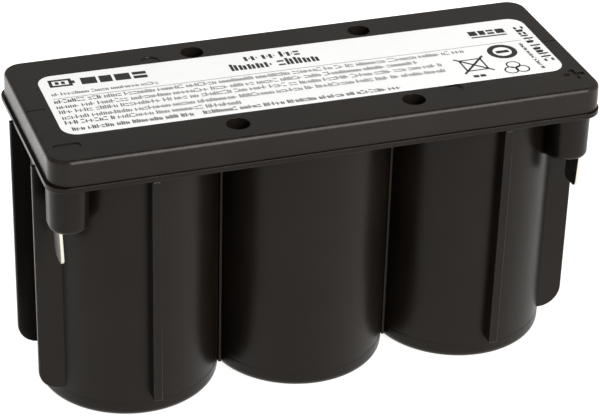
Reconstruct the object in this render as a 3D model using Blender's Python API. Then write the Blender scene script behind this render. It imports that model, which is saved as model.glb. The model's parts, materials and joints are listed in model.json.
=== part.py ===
"""Sealed lead-acid battery block, 6 V: three round cells in one moulded case.

The case has three wells side by side, a rim flange, end fins, ribs and two corner bosses.
Each well holds one spiral-wound cell, closed by an inner cover with two lead posts and a
rubber relief valve. Lead links join the cells, and a tinned blade leaves each corner boss.

Frame: origin at the middle of the footprint, +X along the row of cells (from the negative
to the positive terminal), +Y away from the terminals, +Z up. Dimensions below are in
millimetres, and objects are made in metres.
"""

import math

import bmesh
import bpy

MM = 0.001
GAP = 0.3  # clearance left between separate pieces

# Facets around a full turn
WELL_STEPS = 48
BORE_STEPS = 40
COVER_STEPS = 32
VALVE_STEPS = 20
SMALL_STEPS = 16
SPIRAL_STEPS = 16

# Case
CASE_LENGTH = 139.4  # over the end fins
CASE_WIDTH = 54.0
RIM_LENGTH = 138.6
RIM_TOP = 69.5
RIM_THICKNESS = 1.4
RIM_CORNER = 5.0
CELL_COUNT = 3
CELL_PITCH = 44.2
WELL_RADIUS = 22.6
WELL_EDGE = 2.0
WELL_FLOOR = 2.0
BORE_RADIUS = 20.2
MOUTH_RADIUS = 21.0
LEDGE_Z = 61.7
OVERLAP = 0.7  # how far a united shape reaches into its neighbour

WEB_THICKNESS = 1.0
WEB_REACH = 7.3
WEB_BOTTOM = 1.4
FIN_Y = 11.4
FIN_THICKNESS = 1.4
FIN_BOTTOM = 5.0
FIN_CORNER = 5.5
RIB_THICKNESS = 2.2
RIB_REACH = 26.2
RIB_BOTTOM = 6.2
RIB_TOP = 67.5
RIB_SHIFT = 0.6  # both ribs sit a little towards +X of their cell

CURB_OUTER = (65.7, 22.65)
CURB_WIDTH = 1.3
CURB_TOP = 71.0
CURB_CORNER = 2.4

# Terminal bosses under the rim's front corners, for the +X one
BOSS_OUTER_X = 68.1
BOSS_INNER_X = 58.4
BOSS_INNER_CORNER = 4.3
BOSS_DRAFT = 0.5
BOSS_FRONT_Y = -25.5
BOSS_BACK_Y = -14.8
BOSS_BOTTOM = 56.0
BOSS_FRONT_CORNER = 4.7
BOSS_BACK_CORNER = 4.0
BOSS_EDGE = 1.2

# Terminal blades, 6.35 x 0.8 mm tabs
TAB_WIDTH = 6.35
TAB_THICKNESS = 0.8
TAB_OUTER_X = 66.5
TAB_BACK_Y = -16.85
TAB_TIP_Z = 47.0
TAB_CHAMFER = 1.3
JOG_TOP_Z = 62.8
RISER_X = 62.9
RISER_WIDTH = 3.95
LEAD_BOTTOM = 70.0
LEAD_WIDTH = 4.0
LEAD_EYE = 3.2
POTTING_BOTTOM = 67.0
POTTING_BOX = ((60.6, -21.1), (64.2, -16.2))

# Lid
LID_LENGTH = 137.4
LID_WIDTH = 52.3
LID_BOTTOM = 69.9
LID_TOP = 76.0
LID_WALL = 1.8
LID_CEILING = 74.4
LID_CORNER = 4.8
LID_EDGE = 0.8
LID_HOLE_RADIUS = 2.75
LID_HOLE_PLACE = (22.0, 19.3)
LID_HOLE_FLOOR = 72.3
LID_CUP_RADIUS = 3.95
LID_CUP_BOTTOM = 71.3
VALVE_STOP_RADIUS = 2.2
VALVE_STOP_BOTTOM = 69.7

# Label, in a shallow recess of the lid
LABEL_SIZE = (126.4, 30.4)
LABEL_CENTRE = (1.1, 0.75)
LABEL_CORNER = 4.0
LABEL_THICKNESS = 0.2
LABEL_TOP = 76.15
LABEL_RECESS_FLOOR = 75.65

# Cells
PLATE_BOTTOM = 3.4
PLATE_TOP = 55.6
SEPARATOR_OVERHANG = 0.8
LUG_TOP = 58.1
ROLL_CORE = 2.4
ROLL_RADIUS = 19.7
POSITIVE_THICKNESS = 1.4
NEGATIVE_THICKNESS = 1.2
SEPARATOR_THICKNESS = 0.9
STRAP_BOTTOM = 58.4
STRAP_TOP = 60.4
STRAP_WIDTH = 5.0
STRAP_REACH = (3.8, 18.8)
POST_OFFSET = 12.0
POST_RADIUS = 2.5
POST_TOP = 69.7

COVER_BOTTOM = 62.0
COVER_TOP = 64.0
COVER_RADIUS = 20.65
POST_HOLE_RADIUS = 4.0
CHIMNEY_RADIUS = 3.2
CHIMNEY_BORE = 1.2
CHIMNEY_TOP = 67.0
SEAL_FLANGE_RADIUS = 4.8
SEAL_TOP = 65.2
VALVE_RADIUS = 4.7
VALVE_BOTTOM = 64.4
VALVE_TOP = 68.5
LINK_THICKNESS = 1.6
LINK_WIDTH = 6.4


# Materials


def make_material(name, colour, roughness, metallic=0.0):
    material = bpy.data.materials.new(name)
    material.use_nodes = True
    shader = material.node_tree.nodes["Principled BSDF"]
    shader.inputs["Base Color"].default_value = (*colour, 1.0)
    shader.inputs["Roughness"].default_value = roughness
    shader.inputs["Metallic"].default_value = metallic
    material.diffuse_color = (*colour, 1.0)
    return material


def make_materials():
    return {
        "case": make_material("case_plastic", (0.018, 0.017, 0.016), 0.38),
        "lid": make_material("lid_plastic", (0.020, 0.019, 0.018), 0.42),
        "seal": make_material("seal_adhesive", (0.05, 0.05, 0.05), 0.6),
        "label": make_material("label_film", (0.85, 0.85, 0.83), 0.45),
        "tab": make_material("tinned_brass", (0.80, 0.80, 0.78), 0.28, 1.0),
        "lead": make_material("cast_lead", (0.35, 0.36, 0.38), 0.5, 0.9),
        "positive": make_material("lead_dioxide", (0.12, 0.07, 0.05), 0.8),
        "negative": make_material("sponge_lead", (0.30, 0.31, 0.32), 0.7, 0.3),
        "separator": make_material("glass_mat", (0.82, 0.82, 0.80), 0.95),
        "cover": make_material("cover_plastic", (0.30, 0.30, 0.31), 0.5),
        "rubber": make_material("valve_rubber", (0.06, 0.055, 0.05), 0.7),
        "potting": make_material("potting_epoxy", (0.35, 0.05, 0.04), 0.3),
    }


# Outlines, as lists of (x, y)


def arc(centre, radius, start, end, steps):
    """Points along an arc, angles in degrees."""
    points = []
    for i in range(steps + 1):
        angle = math.radians(start + (end - start) * i / steps)
        points.append((centre[0] + radius * math.cos(angle), centre[1] + radius * math.sin(angle)))
    return points


def rounded_rectangle(half_x, half_y, corner, centre=(0.0, 0.0), steps=5):
    outline = []
    for turn, (sign_x, sign_y) in enumerate(((1, 1), (-1, 1), (-1, -1), (1, -1))):
        middle = (
            centre[0] + sign_x * (half_x - corner),
            centre[1] + sign_y * (half_y - corner),
        )
        outline += arc(middle, corner, 90 * turn, 90 * turn + 90, steps)
    return outline


def box_outline(low, high):
    return [(low[0], low[1]), (high[0], low[1]), (high[0], high[1]), (low[0], high[1])]


def circle(radius, centre=(0.0, 0.0), steps=SMALL_STEPS):
    return arc(centre, radius, 0, 360, steps)[:-1]


# Solids, as bmesh meshes in millimetres


def stack(loops):
    """A closed solid through loops of equally many (x, y, z) points, capped at both ends."""
    bm = bmesh.new()
    rings = [[bm.verts.new(point) for point in loop] for loop in loops]
    for lower, upper in zip(rings, rings[1:]):
        for i in range(len(lower)):
            j = (i + 1) % len(lower)
            bm.faces.new((lower[i], lower[j], upper[j], upper[i]))
    bm.faces.new(rings[0][::-1])
    bm.faces.new(rings[-1])
    bmesh.ops.recalc_face_normals(bm, faces=bm.faces)
    return bm


def prism(outline, low, high):
    """The outline of (x, y) points, extruded from z = low to z = high."""
    return stack([[(x, y, z) for x, y in outline] for z in (low, high)])


def side_prism(outline, low, high):
    """The outline of (x, z) points, extruded from y = low to y = high."""
    return stack([[(x, y, z) for x, z in outline] for y in (low, high)])


def end_prism(outline, low, high):
    """The outline of (y, z) points, extruded from x = low to x = high."""
    return stack([[(x, y, z) for y, z in outline] for x in (low, high)])


def turned(profile, steps=SMALL_STEPS):
    """A solid of revolution about Z from a closed profile of (radius, z) points."""
    bm = bmesh.new()
    rings = []
    for radius, z in profile:
        if radius == 0:
            rings.append([bm.verts.new((0.0, 0.0, z))] * steps)
        else:
            rings.append([bm.verts.new((x, y, z)) for x, y in circle(radius, steps=steps)])
    for first, second in zip(rings, rings[1:] + rings[:1]):
        for i in range(steps):
            j = (i + 1) % steps
            corners = dict.fromkeys((first[i], first[j], second[j], second[i]))
            if len(corners) > 2:
                bm.faces.new(tuple(corners))
    bmesh.ops.recalc_face_normals(bm, faces=bm.faces)
    return bm


# Objects


def make_object(name, bm, material, location=(0.0, 0.0, 0.0), parent=None):
    """The solid as an object at the location, in millimetres under its parent."""
    bmesh.ops.scale(bm, vec=(MM, MM, MM), verts=bm.verts)
    mesh = bpy.data.meshes.new(name)
    bm.to_mesh(mesh)
    bm.free()
    mesh.shade_smooth()
    mesh.set_sharp_from_angle(angle=math.radians(35))
    mesh.materials.append(material)
    obj = bpy.data.objects.new(name, mesh)
    obj.location = [value * MM for value in location]
    obj.parent = parent
    bpy.context.scene.collection.objects.link(obj)
    return obj


def make_helper(name, bm, collection, location=(0.0, 0.0, 0.0)):
    """A hidden solid that a Boolean adds or cuts."""
    bmesh.ops.scale(bm, vec=(MM, MM, MM), verts=bm.verts)
    mesh = bpy.data.meshes.new(name)
    bm.to_mesh(mesh)
    bm.free()
    obj = bpy.data.objects.new(name, mesh)
    obj.location = [value * MM for value in location]
    obj.hide_render = True
    obj.display_type = "WIRE"
    collection.objects.link(obj)
    return obj


def make_helper_collection(name):
    collection = bpy.data.collections.new(name)
    bpy.context.scene.collection.children.link(collection)
    return collection


def boolean(obj, operation, collection):
    modifier = obj.modifiers.new(operation.lower() + "_" + collection.name, "BOOLEAN")
    modifier.operation = operation
    modifier.solver = "EXACT"
    modifier.operand_type = "COLLECTION"
    modifier.collection = collection


def cell_centres():
    middle = (CELL_COUNT - 1) / 2
    return [(i - middle) * CELL_PITCH for i in range(CELL_COUNT)]


# Terminal blades


def terminal_boxes(side, margin):
    """The blade, its jog and its riser, grown by a margin: (outline in x and y, low z, high z)."""

    def block(x_low, x_high, y_low, y_high, z_low, z_high):
        ends = sorted((side * (x_low - margin), side * (x_high + margin)))
        outline = box_outline((ends[0], y_low - margin), (ends[1], y_high + margin))
        return outline, z_low - margin, z_high + margin

    blade_x = TAB_OUTER_X - TAB_THICKNESS
    jog_z = JOG_TOP_Z - TAB_THICKNESS
    riser_front = TAB_BACK_Y - RISER_WIDTH
    front = TAB_BACK_Y - TAB_WIDTH
    riser_x = RISER_X - TAB_THICKNESS
    return {
        "blade": block(blade_x, TAB_OUTER_X, front, TAB_BACK_Y, TAB_TIP_Z, JOG_TOP_Z),
        "jog": block(riser_x, TAB_OUTER_X, riser_front, TAB_BACK_Y, jog_z, JOG_TOP_Z),
        "riser": block(
            riser_x, RISER_X, riser_front, TAB_BACK_Y, jog_z, LEAD_BOTTOM + TAB_THICKNESS
        ),
    }


def blade_solid(side):
    """The blade with its tip's two corners cut off."""
    back = TAB_BACK_Y
    front = TAB_BACK_Y - TAB_WIDTH
    outline = [
        (front, JOG_TOP_Z),
        (front, TAB_TIP_Z + TAB_CHAMFER),
        (front + TAB_CHAMFER, TAB_TIP_Z),
        (back - TAB_CHAMFER, TAB_TIP_Z),
        (back, TAB_TIP_Z + TAB_CHAMFER),
        (back, JOG_TOP_Z),
    ]
    ends = sorted((side * (TAB_OUTER_X - TAB_THICKNESS), side * TAB_OUTER_X))
    return end_prism(outline, *ends)


def lead_outline(side):
    """The flat lead from the riser to the post's eye, seen from above."""
    post_x = CELL_PITCH + POST_OFFSET
    front = TAB_BACK_Y - RISER_WIDTH
    points = [
        (RISER_X, front),
        (RISER_X, TAB_BACK_Y),
        (post_x + LEAD_WIDTH / 2, TAB_BACK_Y),
    ]
    points += arc((post_x, 0.0), LEAD_EYE, -50, 230, 12)
    points.append((post_x - LEAD_WIDTH / 2, front))
    return [(side * x, y) for x, y in points]


def make_terminal(name, side, materials):
    parts = terminal_boxes(side, 0.0)
    collection = make_helper_collection(name + "_shapes")
    make_helper(name + "_jog", prism(*parts["jog"]), collection)
    make_helper(name + "_riser", prism(*parts["riser"]), collection)
    lead = prism(lead_outline(side), LEAD_BOTTOM, LEAD_BOTTOM + TAB_THICKNESS)
    make_helper(name + "_lead", lead, collection)
    terminal = make_object(name, blade_solid(side), materials["tab"])
    boolean(terminal, "UNION", collection)


def make_potting(name, side, materials):
    """The epoxy that seals a riser where it leaves its boss."""
    (x_low, y_low), (x_high, y_high) = POTTING_BOX
    ends = sorted((side * (x_low + GAP), side * (x_high - GAP)))
    outline = box_outline((ends[0], y_low + GAP), (ends[1], y_high - GAP))
    riser_hole, low, high = terminal_boxes(side, GAP)["riser"]
    collection = make_helper_collection(name + "_cuts")
    make_helper(name + "_hole", prism(riser_hole, low, high), collection)
    potting = make_object(
        name, prism(outline, POTTING_BOTTOM + GAP, RIM_TOP - 0.1), materials["potting"]
    )
    boolean(potting, "DIFFERENCE", collection)


# Case


def well_profile():
    edge = arc((WELL_RADIUS - WELL_EDGE, WELL_EDGE), WELL_EDGE, -90, 0, 3)
    top = RIM_TOP - OVERLAP
    return [(0.0, 0.0), *edge, (WELL_RADIUS, top), (0.0, top)]


def bore_profile():
    return [
        (0.0, WELL_FLOOR),
        (BORE_RADIUS, WELL_FLOOR),
        (BORE_RADIUS, LEDGE_Z),
        (MOUTH_RADIUS, LEDGE_Z),
        (MOUTH_RADIUS, CURB_TOP + 1),
        (0.0, CURB_TOP + 1),
    ]


def web_outline(x):
    """A web between two wells, seen from above, with small chamfers at its two edges."""
    half = WEB_THICKNESS / 2
    cut = half / 2
    quarter = [(half, WEB_REACH - cut), (half - cut, WEB_REACH)]
    right = quarter[::-1] + [(px, -py) for px, py in quarter]
    left = [(-px, -py) for px, py in right]
    return [(x + px, py) for px, py in right + left]


def fin_outline(side):
    """An end fin, in x and z, from inside the well to just past the end of the rim."""
    end = CASE_LENGTH / 2
    inner = CELL_PITCH + BORE_RADIUS / 2
    corner = (end - FIN_CORNER, FIN_BOTTOM + FIN_CORNER)
    under_rim = RIM_LENGTH / 2 - OVERLAP
    points = [(inner, RIM_TOP - OVERLAP), (inner, FIN_BOTTOM)]
    points += arc(corner, FIN_CORNER, -90, 0, 6)
    points.append((end, RIM_TOP - RIM_THICKNESS))
    points.append((under_rim, RIM_TOP - RIM_THICKNESS))
    points.append((under_rim, RIM_TOP - OVERLAP))
    return [(side * x, z) for x, z in points]


def boss_loop(side, z, inset):
    """The boss's outline at one height, drawn in by the inset."""
    drop = (RIM_TOP - z) / (RIM_TOP - BOSS_BOTTOM)
    inner = BOSS_INNER_X + BOSS_DRAFT * drop + inset
    outer = BOSS_OUTER_X - inset
    front = BOSS_FRONT_Y + inset
    back = BOSS_BACK_Y - inset
    inner_corner = BOSS_INNER_CORNER - inset
    front_corner = BOSS_FRONT_CORNER - inset
    back_corner = BOSS_BACK_CORNER - inset
    points = [(inner, back)]
    points += arc((inner + inner_corner, front + inner_corner), inner_corner, -180, -90, 6)
    points += arc((outer - front_corner, front + front_corner), front_corner, -90, 0, 6)
    points += arc((outer - back_corner, back - back_corner), back_corner, 0, 90, 5)
    return [(side * x, y, z) for x, y in points]


def boss_solid(side):
    loops = []
    for i in range(4):
        angle = math.radians(30 * i)
        inset = BOSS_EDGE * (1 - math.sin(angle))
        loops.append(boss_loop(side, BOSS_BOTTOM + BOSS_EDGE * (1 - math.cos(angle)), inset))
    loops.append(boss_loop(side, RIM_TOP - OVERLAP, 0.0))
    return stack(loops)


def add_case_shapes(shapes):
    for i, x in enumerate(cell_centres()):
        make_helper(f"well_{i + 1}", turned(well_profile(), WELL_STEPS), shapes, (x, 0.0, 0.0))
    for i in range(CELL_COUNT - 1):
        x = cell_centres()[i] + CELL_PITCH / 2
        web = prism(web_outline(x), WEB_BOTTOM, RIM_TOP - OVERLAP)
        make_helper(f"web_{i + 1}", web, shapes)
    for side in (-1, 1):
        for row in (-1, 1):
            low = row * FIN_Y - FIN_THICKNESS / 2
            fin = side_prism(fin_outline(side), low, low + FIN_THICKNESS)
            make_helper(f"fin_{side}_{row}", fin, shapes)
        half = RIB_THICKNESS / 2
        x = side * CELL_PITCH + RIB_SHIFT
        rib = prism(box_outline((x - half, -RIB_REACH), (x + half, RIB_REACH)), RIB_BOTTOM, RIB_TOP)
        make_helper(f"rib_{side}", rib, shapes)
        make_helper(f"boss_{side}", boss_solid(side), shapes)
    curb = rounded_rectangle(*CURB_OUTER, CURB_CORNER)
    make_helper("curb", prism(curb, RIM_TOP - OVERLAP, CURB_TOP), shapes)


def add_case_cuts(cuts):
    for i, x in enumerate(cell_centres()):
        make_helper(f"bore_{i + 1}", turned(bore_profile(), BORE_STEPS), cuts, (x, 0.0, 0.0))
    inside = [size - CURB_WIDTH for size in CURB_OUTER]
    well = rounded_rectangle(*inside, CURB_CORNER - CURB_WIDTH)
    make_helper("curb_inside", prism(well, RIM_TOP, CURB_TOP + 1), cuts)
    for side in (-1, 1):
        parts = terminal_boxes(side, GAP)
        for part, block in parts.items():
            make_helper(f"slot_{part}_{side}", prism(*block), cuts)
        (x_low, y_low), (x_high, y_high) = POTTING_BOX
        ends = sorted((side * x_low, side * x_high))
        pocket = box_outline((ends[0], y_low), (ends[1], y_high))
        make_helper(f"pocket_{side}", prism(pocket, POTTING_BOTTOM, CURB_TOP + 1), cuts)


def make_case(materials):
    shapes = make_helper_collection("case_shapes")
    cuts = make_helper_collection("case_cuts")
    add_case_shapes(shapes)
    add_case_cuts(cuts)
    rim = rounded_rectangle(RIM_LENGTH / 2, CASE_WIDTH / 2, RIM_CORNER)
    case = make_object("case", prism(rim, RIM_TOP - RIM_THICKNESS, RIM_TOP), materials["case"])
    boolean(case, "UNION", shapes)
    boolean(case, "DIFFERENCE", cuts)


# Lid, its seal and its label


def lid_loop(z, inset):
    outline = rounded_rectangle(LID_LENGTH / 2 - inset, LID_WIDTH / 2 - inset, LID_CORNER - inset)
    return [(x, y, z) for x, y in outline]


def make_lid(materials):
    loops = [lid_loop(LID_BOTTOM, 0.0)]
    for i in range(4):
        angle = math.radians(30 * i)
        inset = LID_EDGE * (1 - math.cos(angle))
        loops.append(lid_loop(LID_TOP - LID_EDGE * (1 - math.sin(angle)), inset))
    lid = make_object("lid", stack(loops), materials["lid"])

    hollow = make_helper_collection("lid_hollow")
    inside = rounded_rectangle(
        LID_LENGTH / 2 - LID_WALL, LID_WIDTH / 2 - LID_WALL, LID_CORNER - LID_WALL
    )
    make_helper("lid_inside", prism(inside, LID_BOTTOM - 1, LID_CEILING), hollow)
    boolean(lid, "DIFFERENCE", hollow)

    shapes = make_helper_collection("lid_shapes")
    cuts = make_helper_collection("lid_cuts")
    for x in (-LID_HOLE_PLACE[0], LID_HOLE_PLACE[0]):
        for y in (-LID_HOLE_PLACE[1], LID_HOLE_PLACE[1]):
            cup = prism(circle(LID_CUP_RADIUS, (x, y)), LID_CUP_BOTTOM, LID_CEILING + OVERLAP)
            make_helper("cup", cup, shapes)
            hole = prism(circle(LID_HOLE_RADIUS, (x, y)), LID_HOLE_FLOOR, LID_TOP + 1)
            make_helper("hole", hole, cuts)
    for x in cell_centres():
        stop = circle(VALVE_STOP_RADIUS, (x, 0.0))
        make_helper("valve_stop", prism(stop, VALVE_STOP_BOTTOM, LID_CEILING + OVERLAP), shapes)
    half_x, half_y = (size / 2 + GAP for size in LABEL_SIZE)
    recess = rounded_rectangle(half_x, half_y, LABEL_CORNER + GAP, LABEL_CENTRE)
    make_helper("label_recess", prism(recess, LABEL_RECESS_FLOOR, LID_TOP + 1), cuts)
    boolean(lid, "UNION", shapes)
    boolean(lid, "DIFFERENCE", cuts)


def make_lid_seal(materials):
    """The bead of adhesive between the case's curb and the lid's skirt."""
    outer_half = (LID_LENGTH / 2 - LID_WALL - GAP, LID_WIDTH / 2 - LID_WALL - GAP)
    inner_half = [size + GAP for size in CURB_OUTER]
    hole = make_helper_collection("lid_seal_hole")
    inner = rounded_rectangle(*inner_half, CURB_CORNER + GAP)
    make_helper("seal_inside", prism(inner, RIM_TOP, CURB_TOP + 1), hole)
    outer = rounded_rectangle(*outer_half, LID_CORNER - LID_WALL - GAP)
    seal = make_object("lid_seal", prism(outer, RIM_TOP + GAP, CURB_TOP - 0.1), materials["seal"])
    boolean(seal, "DIFFERENCE", hole)


def make_label(materials):
    half_x, half_y = (size / 2 for size in LABEL_SIZE)
    outline = rounded_rectangle(half_x, half_y, LABEL_CORNER)
    solid = prism(outline, -LABEL_THICKNESS, 0.0)
    make_object("label", solid, materials["label"], (*LABEL_CENTRE, LABEL_TOP))


# Cells


def spiral(inner, thickness, low, high, lug_angle=None):
    """A strip wound into a spiral: its inner face starts at the inner radius.

    With a lug angle, each turn has a lug on its top edge there.
    """
    pitch = POSITIVE_THICKNESS + NEGATIVE_THICKNESS + 2 * SEPARATOR_THICKNESS + 4 * GAP
    turns = (ROLL_RADIUS - inner - thickness) / pitch
    count = int(turns * SPIRAL_STEPS)
    bm = bmesh.new()
    stations = []
    for i in range(count + 1):
        angle = 2 * math.pi * (i - 0.5) / SPIRAL_STEPS
        near = inner + pitch * i / SPIRAL_STEPS
        far = near + thickness
        station = []
        for radius, z in ((near, low), (far, low), (far, high), (near, high)):
            station.append(bm.verts.new((radius * math.cos(angle), radius * math.sin(angle), z)))
        stations.append(station)
    lug_faces = []
    for i, (first, second) in enumerate(zip(stations, stations[1:])):
        for j in range(4):
            k = (j + 1) % 4
            face = bm.faces.new((first[j], first[k], second[k], second[j]))
            if j == 2 and lug_angle is not None and i % SPIRAL_STEPS == lug_angle:
                lug_faces.append(face)
    bm.faces.new(stations[0][::-1])
    bm.faces.new(stations[-1])
    bmesh.ops.recalc_face_normals(bm, faces=bm.faces)
    for face in lug_faces:
        made = bmesh.ops.extrude_face_region(bm, geom=[face])
        raised = [item for item in made["geom"] if isinstance(item, bmesh.types.BMVert)]
        bmesh.ops.translate(bm, verts=raised, vec=(0.0, 0.0, LUG_TOP - high))
        bmesh.ops.delete(bm, geom=[face], context="FACES")
    bmesh.ops.recalc_face_normals(bm, faces=bm.faces)
    return bm


def make_roll(number, parent, materials):
    """The two plates and the two separators of one cell, wound together."""
    low = PLATE_BOTTOM - SEPARATOR_OVERHANG
    high = PLATE_TOP + SEPARATOR_OVERHANG
    inner_radius = ROLL_CORE
    bm = spiral(inner_radius, SEPARATOR_THICKNESS, low, high)
    make_object(f"inner_separator_{number}", bm, materials["separator"], parent=parent)
    inner_radius += SEPARATOR_THICKNESS + GAP
    bm = spiral(inner_radius, POSITIVE_THICKNESS, PLATE_BOTTOM, PLATE_TOP, 0)
    make_object(f"positive_plate_{number}", bm, materials["positive"], parent=parent)
    inner_radius += POSITIVE_THICKNESS + GAP
    bm = spiral(inner_radius, SEPARATOR_THICKNESS, low, high)
    make_object(f"outer_separator_{number}", bm, materials["separator"], parent=parent)
    inner_radius += SEPARATOR_THICKNESS + GAP
    bm = spiral(inner_radius, NEGATIVE_THICKNESS, PLATE_BOTTOM, PLATE_TOP, SPIRAL_STEPS // 2)
    make_object(f"negative_plate_{number}", bm, materials["negative"], parent=parent)


def make_post(name, side, parent, materials):
    """A cast strap over the plate lugs, with its post."""
    ends = sorted(side * reach for reach in STRAP_REACH)
    half = STRAP_WIDTH / 2
    strap = prism(box_outline((ends[0], -half), (ends[1], half)), STRAP_BOTTOM, STRAP_TOP)
    shapes = make_helper_collection(name + "_shapes")
    column = turned(
        [
            (0.0, STRAP_TOP - OVERLAP),
            (POST_RADIUS, STRAP_TOP - OVERLAP),
            (POST_RADIUS, POST_TOP - 0.4),
            (POST_RADIUS - 0.4, POST_TOP),
            (0.0, POST_TOP),
        ]
    )
    place = (parent.location.x / MM + side * POST_OFFSET, 0.0, 0.0)
    make_helper(name + "_column", column, shapes, place)
    post = make_object(name, strap, materials["lead"], parent=parent)
    boolean(post, "UNION", shapes)


def make_post_seal(name, side, parent, materials):
    bore = POST_RADIUS + GAP
    sleeve = POST_HOLE_RADIUS - GAP
    profile = [
        (bore, COVER_BOTTOM),
        (sleeve, COVER_BOTTOM),
        (sleeve, COVER_TOP + GAP),
        (SEAL_FLANGE_RADIUS, COVER_TOP + GAP),
        (SEAL_FLANGE_RADIUS, SEAL_TOP),
        (bore, SEAL_TOP),
    ]
    place = (side * POST_OFFSET, 0.0, 0.0)
    make_object(name, turned(profile), materials["rubber"], place, parent)


def make_cover(number, parent, materials):
    profile = [
        (CHIMNEY_BORE, COVER_BOTTOM),
        (COVER_RADIUS, COVER_BOTTOM),
        (COVER_RADIUS, COVER_TOP),
        (CHIMNEY_RADIUS, COVER_TOP),
        (CHIMNEY_RADIUS, CHIMNEY_TOP - 0.4),
        (CHIMNEY_RADIUS - 0.4, CHIMNEY_TOP),
        (CHIMNEY_BORE, CHIMNEY_TOP),
    ]
    name = f"cell_cover_{number}"
    cover = make_object(name, turned(profile, COVER_STEPS), materials["cover"], parent=parent)
    cuts = make_helper_collection(name + "_cuts")
    for side in (-1, 1):
        centre = (parent.location.x / MM + side * POST_OFFSET, 0.0)
        hole = prism(circle(POST_HOLE_RADIUS, centre), COVER_BOTTOM - 1, COVER_TOP + 1)
        make_helper(f"{name}_hole_{side}", hole, cuts)
    boolean(cover, "DIFFERENCE", cuts)


def make_relief_valve(number, parent, materials):
    """The rubber cap on the cover's chimney. Its origin is on the axis it lifts along."""
    height = VALVE_TOP - VALVE_BOTTOM
    bore = CHIMNEY_RADIUS + GAP
    ceiling = CHIMNEY_TOP + GAP - VALVE_BOTTOM
    profile = [
        (bore, 0.0),
        (VALVE_RADIUS, 0.0),
        (VALVE_RADIUS, height - 0.6),
        (VALVE_RADIUS - 0.6, height),
        (0.0, height),
        (0.0, ceiling),
        (bore, ceiling),
    ]
    place = (0.0, 0.0, VALVE_BOTTOM)
    solid = turned(profile, VALVE_STEPS)
    make_object(f"relief_valve_{number}", solid, materials["rubber"], place, parent)


def make_cell(number, x, materials):
    holder = bpy.data.objects.new(f"cell_{number}", None)
    holder.location = (x * MM, 0.0, 0.0)
    bpy.context.scene.collection.objects.link(holder)
    make_roll(number, holder, materials)
    for side, sign in ((-1, "negative"), (1, "positive")):
        make_post(f"{sign}_post_{number}", side, holder, materials)
        make_post_seal(f"{sign}_post_seal_{number}", side, holder, materials)
    make_cover(number, holder, materials)
    make_relief_valve(number, holder, materials)


def make_link(number, x, materials):
    """A lead link from one cell's positive post to the next cell's negative post."""
    half = CELL_PITCH / 2 - POST_OFFSET
    radius = LINK_WIDTH / 2
    outline = arc((half, 0.0), radius, -90, 90, 8) + arc((-half, 0.0), radius, 90, 270, 8)
    solid = prism(outline, 0.0, LINK_THICKNESS)
    make_object(f"intercell_link_{number}", solid, materials["lead"], (x, 0.0, LEAD_BOTTOM))


def clear_scene():
    for obj in list(bpy.data.objects):
        bpy.data.objects.remove(obj, do_unlink=True)


def main():
    clear_scene()
    materials = make_materials()
    make_case(materials)
    make_lid(materials)
    make_lid_seal(materials)
    make_label(materials)
    for i, x in enumerate(cell_centres()):
        make_cell(i + 1, x, materials)
    for i in range(CELL_COUNT - 1):
        make_link(i + 1, cell_centres()[i] + CELL_PITCH / 2, materials)
    for side, sign in ((-1, "negative"), (1, "positive")):
        make_terminal(f"{sign}_terminal", side, materials)
        make_potting(f"{sign}_terminal_potting", side, materials)


main()
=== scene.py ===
"""Looks of the sealed battery block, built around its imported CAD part.

The case, lid, label and blades are replaced by detailed meshes. The pieces inside keep their
CAD shape and get their own materials. Lengths are in millimetres until a mesh is made.
"""

import json
import math
import random

import bmesh
import bpy
from mathutils import Matrix, Vector


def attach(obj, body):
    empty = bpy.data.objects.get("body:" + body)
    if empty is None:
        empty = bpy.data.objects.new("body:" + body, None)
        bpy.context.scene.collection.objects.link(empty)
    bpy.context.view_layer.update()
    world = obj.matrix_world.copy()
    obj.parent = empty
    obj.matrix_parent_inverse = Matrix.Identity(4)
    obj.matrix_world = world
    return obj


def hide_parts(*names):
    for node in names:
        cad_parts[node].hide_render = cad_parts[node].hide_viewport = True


MM = 0.001
BODY = "block"

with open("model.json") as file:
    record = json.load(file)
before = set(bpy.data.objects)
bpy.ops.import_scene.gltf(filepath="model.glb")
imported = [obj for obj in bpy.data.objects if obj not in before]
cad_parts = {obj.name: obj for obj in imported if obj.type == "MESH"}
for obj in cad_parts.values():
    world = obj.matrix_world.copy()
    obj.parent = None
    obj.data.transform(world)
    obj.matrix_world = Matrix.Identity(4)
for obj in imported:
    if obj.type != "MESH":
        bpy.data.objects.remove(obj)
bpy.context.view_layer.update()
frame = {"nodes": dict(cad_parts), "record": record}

# In what follows, a HALF is half of a size along X and Y, and EDGES are the radii of the low and
# the top edge.

# Rim and curb
RIM_HALF = (69.3, 27.0)
RIM_CENTRE = (0.2, 0.0)
RIM_CORNER = 5.0
RIM_EDGES = (0.3, 0.09)
RIM_LOW = 68.1
RIM_TOP = 69.5
SHAPE_TOP = 68.8  # the shapes under the rim end inside it
CURB_HALF = (65.7, 22.65)
CURB_CORNER = 2.4
CURB_WIDTH = 1.3
CURB_TOP = 71.0
ABOVE_CURB = CURB_TOP + 1

# Wells and the webs in the valleys between them
CELLS = (-44.2, 0.0, 44.2)
VALLEYS = (-22.1, 22.1)
WELL_RADIUS = 22.6
WELL_EDGE = 2.0
WITNESS_LINE = (4.15, 4.30, 4.45, 4.60)  # heights where its groove slopes in, then out again
WITNESS_DEPTH = 0.10
BORE_RADIUS = 20.2
BORE_FLOOR = 2.0
MOUTH_RADIUS = 21.0
LEDGE_Z = 61.7
WEB_HALF = (0.42, 7.3)
WEB_CORNER = (0.25, 0.05)  # seen from above, and the least that an inset leaves of it
WEB_EDGES = (0.25, 0.05)
WEB_BOTTOM = 1.4

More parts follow.
